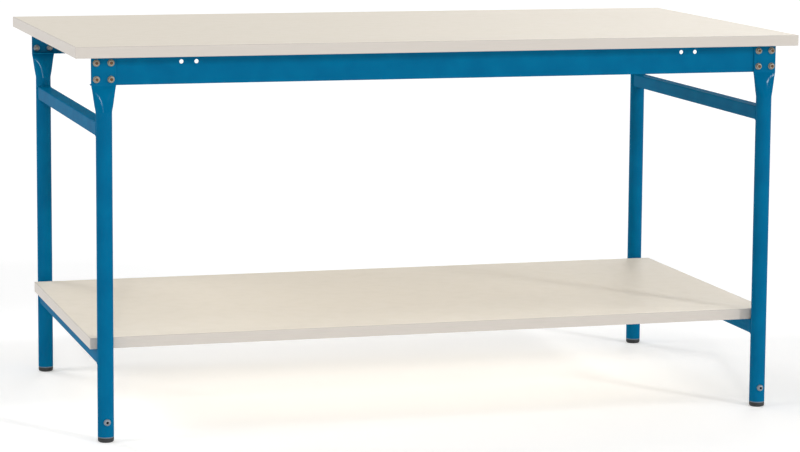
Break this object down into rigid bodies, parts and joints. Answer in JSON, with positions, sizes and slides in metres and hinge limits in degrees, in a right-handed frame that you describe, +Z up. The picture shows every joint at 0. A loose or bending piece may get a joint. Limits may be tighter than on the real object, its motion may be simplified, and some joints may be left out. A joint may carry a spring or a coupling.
{
  "type": "assembly table",
  "caption": "Work table with a flat beige top, a lower shelf, round blue steel legs pressed flat and bolted to folded rails, and levelling feet.",
  "frame": {"origin": "on the floor, under the middle of the tabletop", "axes": "+X to the right along the table, +Y to the back, +Z up"},
  "size_m": [1.5, 0.8, 0.78],
  "materials": {
    "board": "beige melamine-faced particle board, fine silk texture",
    "edge_band": "ABS edge band, extruded, rounded edges",
    "frame_enamel": "blue powder coat, semi-gloss with fine orange peel",
    "yellow_zinc": "zinc plated, yellow passivated",
    "bright_zinc": "zinc plated, blue passivated",
    "foot_insert": "die cast, bare",
    "foot_pad": "black moulded polyamide"
  },
  "bodies": {
    "table": {"tabletop_panel": "board", "tabletop_edge_front": "edge_band", "tabletop_edge_rear": "edge_band", "tabletop_edge_left": "edge_band", "tabletop_edge_right": "edge_band", "shelf_panel": "board", "shelf_edge_front": "edge_band", "shelf_edge_rear": "edge_band", "shelf_edge_left": "edge_band", "shelf_edge_right": "edge_band", "front_rail": "frame_enamel", "rear_rail": "frame_enamel", "upper_cross_rail_left": "frame_enamel", "lower_cross_rail_left": "frame_enamel", "upper_cross_rail_right": "frame_enamel", "lower_cross_rail_right": "frame_enamel", "leg_front_left": "frame_enamel", "leg_front_right": "frame_enamel", "leg_rear_left": "frame_enamel", "leg_rear_right": "frame_enamel", "corner_bolts_front_left": "yellow_zinc", "corner_nuts_front_left": "bright_zinc", "corner_bolts_front_right": "yellow_zinc", "corner_nuts_front_right": "bright_zinc", "corner_bolts_rear_left": "yellow_zinc", "corner_nuts_rear_left": "bright_zinc", "corner_bolts_rear_right": "yellow_zinc", "corner_nuts_rear_right": "bright_zinc", "tabletop_screws_front": "bright_zinc", "tabletop_screws_rear": "bright_zinc", "shelf_screws_left": "bright_zinc", "shelf_screws_right": "bright_zinc", "foot_insert_front_left": "foot_insert", "foot_screw_front_left": "bright_zinc", "foot_insert_front_right": "foot_insert", "foot_screw_front_right": "bright_zinc", "foot_insert_rear_left": "foot_insert", "foot_screw_rear_left": "bright_zinc", "foot_insert_rear_right": "foot_insert", "foot_screw_rear_right": "bright_zinc"},
    "front_left_pad": {"foot_pad_front_left": "foot_pad"},
    "front_left_spindle": {"foot_spindle_front_left": "bright_zinc"},
    "front_right_pad": {"foot_pad_front_right": "foot_pad"},
    "front_right_spindle": {"foot_spindle_front_right": "bright_zinc"},
    "rear_left_pad": {"foot_pad_rear_left": "foot_pad"},
    "rear_left_spindle": {"foot_spindle_rear_left": "bright_zinc"},
    "rear_right_pad": {"foot_pad_rear_right": "foot_pad"},
    "rear_right_spindle": {"foot_spindle_rear_right": "bright_zinc"}
  },
  "joints": [
    {"name": "front_left_foot_travel", "type": "slide", "parent": "table", "child": "front_left_pad", "axis": [0, 0, -1], "range_m": [0, 0.015]},
    {"name": "front_left_foot_turn", "type": "hinge", "parent": "front_left_pad", "child": "front_left_spindle", "pos_m": [-0.68972, -0.366, 0.003], "axis": [0, 0, -1], "range_deg": [0, 3600]},
    {"name": "front_right_foot_travel", "type": "slide", "parent": "table", "child": "front_right_pad", "axis": [0, 0, -1], "range_m": [0, 0.015]},
    {"name": "front_right_foot_turn", "type": "hinge", "parent": "front_right_pad", "child": "front_right_spindle", "pos_m": [0.68972, -0.366, 0.003], "axis": [0, 0, -1], "range_deg": [0, 3600]},
    {"name": "rear_left_foot_travel", "type": "slide", "parent": "table", "child": "rear_left_pad", "axis": [0, 0, -1], "range_m": [0, 0.015]},
    {"name": "rear_left_foot_turn", "type": "hinge", "parent": "rear_left_pad", "child": "rear_left_spindle", "pos_m": [-0.68972, 0.366, 0.003], "axis": [0, 0, -1], "range_deg": [0, 3600]},
    {"name": "rear_right_foot_travel", "type": "slide", "parent": "table", "child": "rear_right_pad", "axis": [0, 0, -1], "range_m": [0, 0.015]},
    {"name": "rear_right_foot_turn", "type": "hinge", "parent": "rear_right_pad", "child": "rear_right_spindle", "pos_m": [0.68972, 0.366, 0.003], "axis": [0, 0, -1], "range_deg": [0, 3600]}
  ],
  "couplings": [
    {"joint": "front_left_foot_turn", "follows": "front_left_foot_travel", "rad_per_m": 4188.8},
    {"joint": "front_right_foot_turn", "follows": "front_right_foot_travel", "rad_per_m": 4188.8},
    {"joint": "rear_left_foot_turn", "follows": "rear_left_foot_travel", "rad_per_m": 4188.8},
    {"joint": "rear_right_foot_turn", "follows": "rear_right_foot_travel", "rad_per_m": 4188.8}
  ]
}
